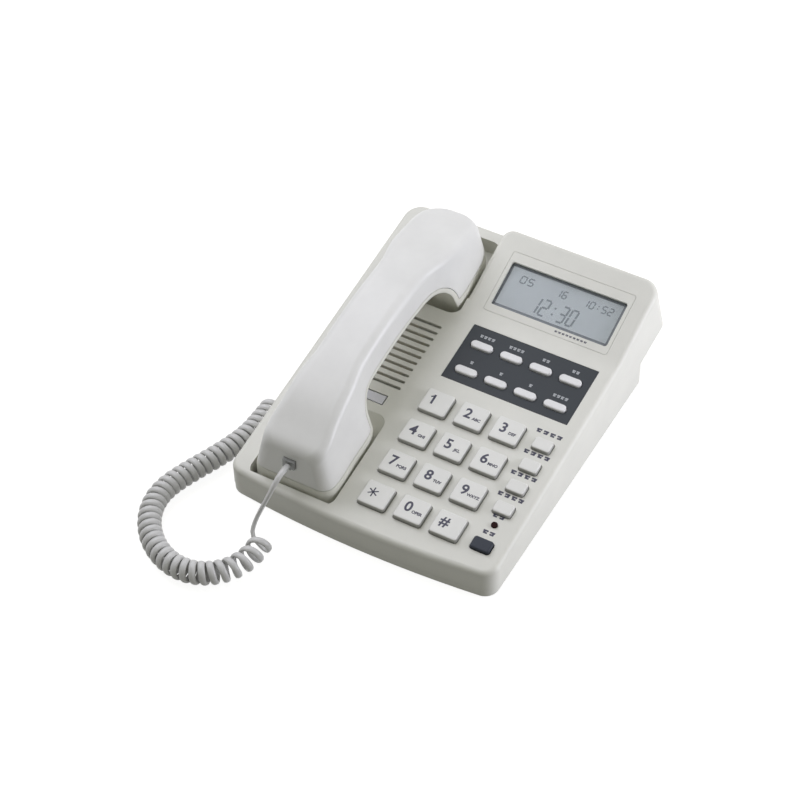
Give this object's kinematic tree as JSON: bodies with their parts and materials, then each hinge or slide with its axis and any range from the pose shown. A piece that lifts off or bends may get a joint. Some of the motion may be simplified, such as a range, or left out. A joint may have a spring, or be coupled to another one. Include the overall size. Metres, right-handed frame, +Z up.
{
  "type": "corded desk telephone",
  "caption": "Wedge-shaped corded desk telephone with a keypad, a button panel, a tilted display and an arched handset in a cradle, joined by a curly cord.",
  "frame": {"origin": "on the table under the middle of the base", "axes": "+X to the right, +Y from the keypad edge to the display edge, +Z up"},
  "size_m": [0.209, 0.3017, 0.0838],
  "materials": {
    "board": "satin",
    "cord": "satin",
    "dark_parts": "matte",
    "display": "satin",
    "feet": "matte",
    "handset": "satin",
    "hook": "satin",
    "housing": "fine texture",
    "keys": "satin",
    "lamp": "gloss",
    "mat": "matte",
    "panel": "satin",
    "panel_buttons": "gloss",
    "plugs": "clear-looking",
    "sockets": "satin",
    "speaker_button": "satin",
    "steel": "plated",
    "window": "gloss"
  },
  "bodies": {
    "base": {"base_lead": "cord", "base_microphone": "dark_parts", "base_plug": "plugs", "base_speaker": "dark_parts", "board_screws": "steel", "bottom_cover": "housing", "button_panel": "panel", "cord_coil": "cord", "cord_socket": "sockets", "cover_screws": "steel", "handset_lead": "cord", "hook_switch": "dark_parts", "indicator_lamp": "lamp", "keypad_mat": "mat", "lcd_bezel": "housing", "lcd_module": "display", "lcd_window": "window", "line_socket": "sockets", "main_board": "board", "rubber_feet": "feet", "top_housing": "housing"},
    "handset": {"handset_outer_shell": "handset", "handset_inner_shell": "handset", "ear_receiver": "dark_parts", "handset_microphone": "dark_parts", "handset_weight": "steel", "handset_screws": "steel", "handset_socket": "sockets", "handset_plug": "plugs"},
    "hook": {"hook_lever": "hook"},
    "key_1_body": {"key_1": "keys"},
    "key_2_body": {"key_2": "keys"},
    "key_3_body": {"key_3": "keys"},
    "key_4_body": {"key_4": "keys"},
    "key_5_body": {"key_5": "keys"},
    "key_6_body": {"key_6": "keys"},
    "key_7_body": {"key_7": "keys"},
    "key_8_body": {"key_8": "keys"},
    "key_9_body": {"key_9": "keys"},
    "key_star_body": {"key_star": "keys"},
    "key_0_body": {"key_0": "keys"},
    "key_hash_body": {"key_hash": "keys"},
    "function_key_1_body": {"function_key_1": "keys"},
    "function_key_2_body": {"function_key_2": "keys"},
    "function_key_3_body": {"function_key_3": "keys"},
    "function_key_4_body": {"function_key_4": "keys"},
    "speaker_button_body": {"speaker_button": "speaker_button"},
    "panel_button_1_body": {"panel_button_1": "panel_buttons"},
    "panel_button_2_body": {"panel_button_2": "panel_buttons"},
    "panel_button_3_body": {"panel_button_3": "panel_buttons"},
    "panel_button_4_body": {"panel_button_4": "panel_buttons"},
    "panel_button_5_body": {"panel_button_5": "panel_buttons"},
    "panel_button_6_body": {"panel_button_6": "panel_buttons"},
    "panel_button_7_body": {"panel_button_7": "panel_buttons"},
    "panel_button_8_body": {"panel_button_8": "panel_buttons"}
  },
  "joints": [
    {"name": "key_1_press", "type": "slide", "parent": "base", "child": "key_1_body", "axis": [0, -0.1392, 0.9903], "range_m": [-0.0015, 0], "stiffness_N_per_m": 400},
    {"name": "key_2_press", "type": "slide", "parent": "base", "child": "key_2_body", "axis": [0, -0.1392, 0.9903], "range_m": [-0.0015, 0], "stiffness_N_per_m": 400},
    {"name": "key_3_press", "type": "slide", "parent": "base", "child": "key_3_body", "axis": [0, -0.1392, 0.9903], "range_m": [-0.0015, 0], "stiffness_N_per_m": 400},
    {"name": "key_4_press", "type": "slide", "parent": "base", "child": "key_4_body", "axis": [0, -0.1392, 0.9903], "range_m": [-0.0015, 0], "stiffness_N_per_m": 400},
    {"name": "key_5_press", "type": "slide", "parent": "base", "child": "key_5_body", "axis": [0, -0.1392, 0.9903], "range_m": [-0.0015, 0], "stiffness_N_per_m": 400},
    {"name": "key_6_press", "type": "slide", "parent": "base", "child": "key_6_body", "axis": [0, -0.1392, 0.9903], "range_m": [-0.0015, 0], "stiffness_N_per_m": 400},
    {"name": "key_7_press", "type": "slide", "parent": "base", "child": "key_7_body", "axis": [0, -0.1392, 0.9903], "range_m": [-0.0015, 0], "stiffness_N_per_m": 400},
    {"name": "key_8_press", "type": "slide", "parent": "base", "child": "key_8_body", "axis": [0, -0.1392, 0.9903], "range_m": [-0.0015, 0], "stiffness_N_per_m": 400},
    {"name": "key_9_press", "type": "slide", "parent": "base", "child": "key_9_body", "axis": [0, -0.1392, 0.9903], "range_m": [-0.0015, 0], "stiffness_N_per_m": 400},
    {"name": "key_star_press", "type": "slide", "parent": "base", "child": "key_star_body", "axis": [0, -0.1392, 0.9903], "range_m": [-0.0015, 0], "stiffness_N_per_m": 400},
    {"name": "key_0_press", "type": "slide", "parent": "base", "child": "key_0_body", "axis": [0, -0.1392, 0.9903], "range_m": [-0.0015, 0], "stiffness_N_per_m": 400},
    {"name": "key_hash_press", "type": "slide", "parent": "base", "child": "key_hash_body", "axis": [0, -0.1392, 0.9903], "range_m": [-0.0015, 0], "stiffness_N_per_m": 400},
    {"name": "function_key_1_press", "type": "slide", "parent": "base", "child": "function_key_1_body", "axis": [0, -0.1392, 0.9903], "range_m": [-0.0015, 0], "stiffness_N_per_m": 400},
    {"name": "function_key_2_press", "type": "slide", "parent": "base", "child": "function_key_2_body", "axis": [0, -0.1392, 0.9903], "range_m": [-0.0015, 0], "stiffness_N_per_m": 400},
    {"name": "function_key_3_press", "type": "slide", "parent": "base", "child": "function_key_3_body", "axis": [0, -0.1392, 0.9903], "range_m": [-0.0015, 0], "stiffness_N_per_m": 400},
    {"name": "function_key_4_press", "type": "slide", "parent": "base", "child": "function_key_4_body", "axis": [0, -0.1392, 0.9903], "range_m": [-0.0015, 0], "stiffness_N_per_m": 400},
    {"name": "speaker_button_press", "type": "slide", "parent": "base", "child": "speaker_button_body", "axis": [0, -0.1392, 0.9903], "range_m": [-0.0015, 0], "stiffness_N_per_m": 400},
    {"name": "panel_button_1_press", "type": "slide", "parent": "base", "child": "panel_button_1_body", "axis": [0, -0.1392, 0.9903], "range_m": [-0.0015, 0], "stiffness_N_per_m": 400},
    {"name": "panel_button_2_press", "type": "slide", "parent": "base", "child": "panel_button_2_body", "axis": [0, -0.1392, 0.9903], "range_m": [-0.0015, 0], "stiffness_N_per_m": 400},
    {"name": "panel_button_3_press", "type": "slide", "parent": "base", "child": "panel_button_3_body", "axis": [0, -0.1392, 0.9903], "range_m": [-0.0015, 0], "stiffness_N_per_m": 400},
    {"name": "panel_button_4_press", "type": "slide", "parent": "base", "child": "panel_button_4_body", "axis": [0, -0.1392, 0.9903], "range_m": [-0.0015, 0], "stiffness_N_per_m": 400},
    {"name": "panel_button_5_press", "type": "slide", "parent": "base", "child": "panel_button_5_body", "axis": [0, -0.1392, 0.9903], "range_m": [-0.0015, 0], "stiffness_N_per_m": 400},
    {"name": "panel_button_6_press", "type": "slide", "parent": "base", "child": "panel_button_6_body", "axis": [0, -0.1392, 0.9903], "range_m": [-0.0015, 0], "stiffness_N_per_m": 400},
    {"name": "panel_button_7_press", "type": "slide", "parent": "base", "child": "panel_button_7_body", "axis": [0, -0.1392, 0.9903], "range_m": [-0.0015, 0], "stiffness_N_per_m": 400},
    {"name": "panel_button_8_press", "type": "slide", "parent": "base", "child": "panel_button_8_body", "axis": [0, -0.1392, 0.9903], "range_m": [-0.0015, 0], "stiffness_N_per_m": 400},
    {"name": "handset_lift", "type": "slide", "parent": "base", "child": "handset", "axis": [0, 0, 1], "range_m": [0, 0.1]},
    {"name": "hook_rock", "type": "hinge", "parent": "base", "child": "hook", "pos_m": [-0.046, -0.03207, 0.02775], "axis": [-1, 0, 0], "range_deg": [0, 5.8]}
  ],
  "couplings": [
    {"joint": "hook_rock", "follows": "handset_lift", "rad_per_m": 1}
  ]
}
